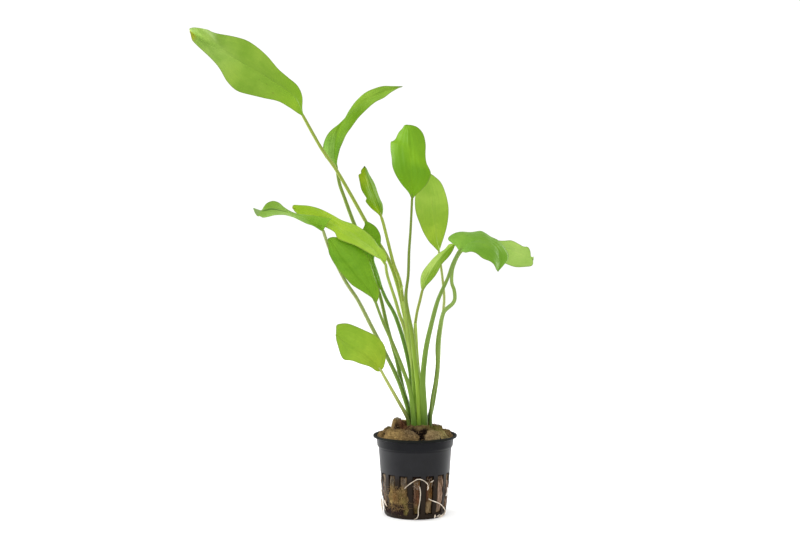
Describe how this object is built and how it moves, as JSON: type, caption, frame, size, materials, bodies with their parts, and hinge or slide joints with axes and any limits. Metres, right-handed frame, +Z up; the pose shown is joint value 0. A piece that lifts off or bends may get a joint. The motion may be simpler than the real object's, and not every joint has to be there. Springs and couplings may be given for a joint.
{
  "type": "potted echinodorus",
  "caption": "Broad-leaved aquarium plant with long arching stalks, rooted in mineral wool that heaps over the rim of a small slotted plastic pot.",
  "frame": {"origin": "middle of the pot's foot, on the surface that the pot stands on", "axes": "+Z up along the pot's axis; +Y away from the side that the picture shows, so the viewer stands on the -Y side; +X to the viewer's right"},
  "size_m": [0.2272, 0.0979, 0.3176],
  "materials": {
    "charcoal_plastic": "satin",
    "mineral_wool": "matte",
    "crown_skin": "matte",
    "stalk_green": "satin",
    "leaf_green": "satin",
    "root_white": "satin"
  },
  "bodies": {
    "root": {"pot": "charcoal_plastic", "rockwool": "mineral_wool", "crown": "crown_skin", "stalk_high_left": "stalk_green", "stalk_folded": "stalk_green", "stalk_upright": "stalk_green", "stalk_upright_back": "stalk_green", "stalk_narrow": "stalk_green", "stalk_curled": "stalk_green", "stalk_slanting": "stalk_green", "stalk_mid_left": "stalk_green", "stalk_shaded": "stalk_green", "stalk_small": "stalk_green", "stalk_drooping": "stalk_green", "stalk_pale": "stalk_green", "stalk_low_left": "stalk_green", "blade_high_left": "leaf_green", "blade_folded": "leaf_green", "blade_upright": "leaf_green", "blade_upright_back": "leaf_green", "blade_narrow": "leaf_green", "blade_curled": "leaf_green", "blade_slanting": "leaf_green", "blade_mid_left": "leaf_green", "blade_shaded": "leaf_green", "blade_small": "leaf_green", "blade_drooping": "leaf_green", "blade_pale": "leaf_green", "blade_low_left": "leaf_green", "root_arch": "root_white", "root_long": "root_white", "root_side": "root_white"}
  },
  "joints": []
}
